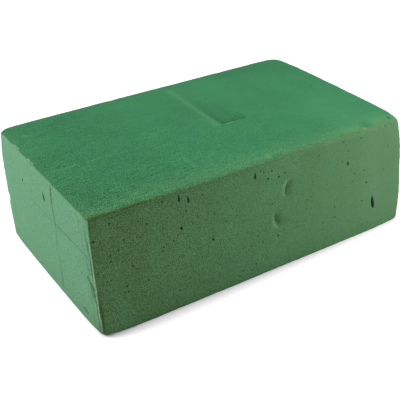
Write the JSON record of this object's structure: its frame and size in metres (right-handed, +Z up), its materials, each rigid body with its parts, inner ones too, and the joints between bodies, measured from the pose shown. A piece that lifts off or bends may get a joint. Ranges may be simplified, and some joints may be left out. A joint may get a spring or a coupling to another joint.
{
  "type": "floral foam brick",
  "caption": "Rigid green foam block with sawn faces and rubbed edges, into which flower stems are pushed.",
  "frame": {"origin": "centre of the face that the brick rests on", "axes": "+X along the length, +Y across the width away from the front long side, +Z up"},
  "size_m": [0.23, 0.15, 0.08],
  "materials": {
    "foam": "dry open-cell phenolic foam, matt, with fine grain, open cells and olive tint on one long side"
  },
  "bodies": {
    "root": {"foam_brick": "foam"}
  },
  "joints": []
}
